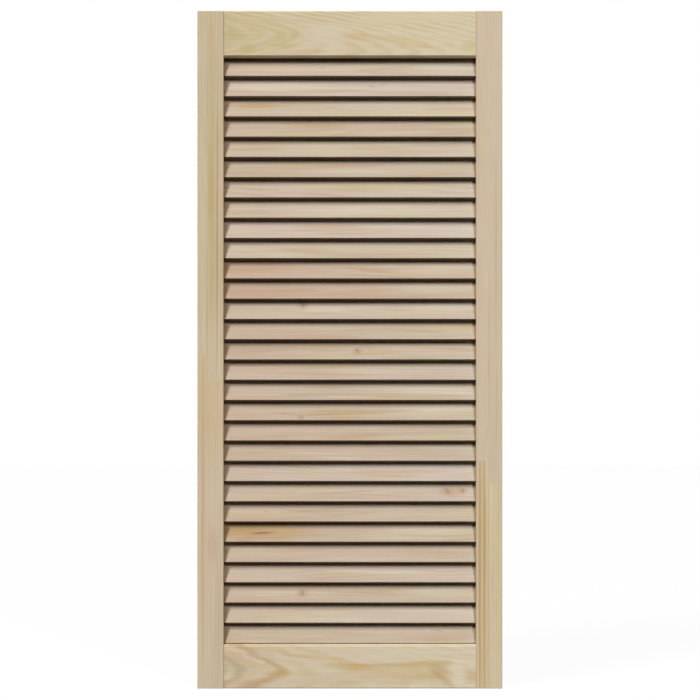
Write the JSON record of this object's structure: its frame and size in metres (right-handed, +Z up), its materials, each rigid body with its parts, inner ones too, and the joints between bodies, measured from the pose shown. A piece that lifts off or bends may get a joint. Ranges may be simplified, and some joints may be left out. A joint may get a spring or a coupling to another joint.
{
  "type": "louvred cabinet door",
  "caption": "Louvred cabinet door in bare pine, with a flat frame and sloping round-edged slats that let air through.",
  "frame": {"origin": "middle of the hinge edge, the outer long edge face of the left stile", "axes": "+Z up along the stiles, +X from the hinge edge to the lock edge, +Y from the front face to the back face"},
  "size_m": [0.447, 0.021, 0.993],
  "materials": {
    "stile_pine": "planed and sanded, unfinished",
    "rail_pine": "planed and sanded, unfinished",
    "slat_pine": "planed and sanded, unfinished"
  },
  "bodies": {
    "root": {"left_stile": "stile_pine", "right_stile": "stile_pine", "top_rail": "rail_pine", "bottom_rail": "rail_pine", "slat_01": "slat_pine", "slat_02": "slat_pine", "slat_03": "slat_pine", "slat_04": "slat_pine", "slat_05": "slat_pine", "slat_06": "slat_pine", "slat_07": "slat_pine", "slat_08": "slat_pine", "slat_09": "slat_pine", "slat_10": "slat_pine", "slat_11": "slat_pine", "slat_12": "slat_pine", "slat_13": "slat_pine", "slat_14": "slat_pine", "slat_15": "slat_pine", "slat_16": "slat_pine", "slat_17": "slat_pine", "slat_18": "slat_pine", "slat_19": "slat_pine", "slat_20": "slat_pine", "slat_21": "slat_pine", "slat_22": "slat_pine", "slat_23": "slat_pine", "slat_24": "slat_pine", "slat_25": "slat_pine", "slat_26": "slat_pine", "slat_27": "slat_pine", "slat_28": "slat_pine", "slat_29": "slat_pine"}
  },
  "joints": []
}
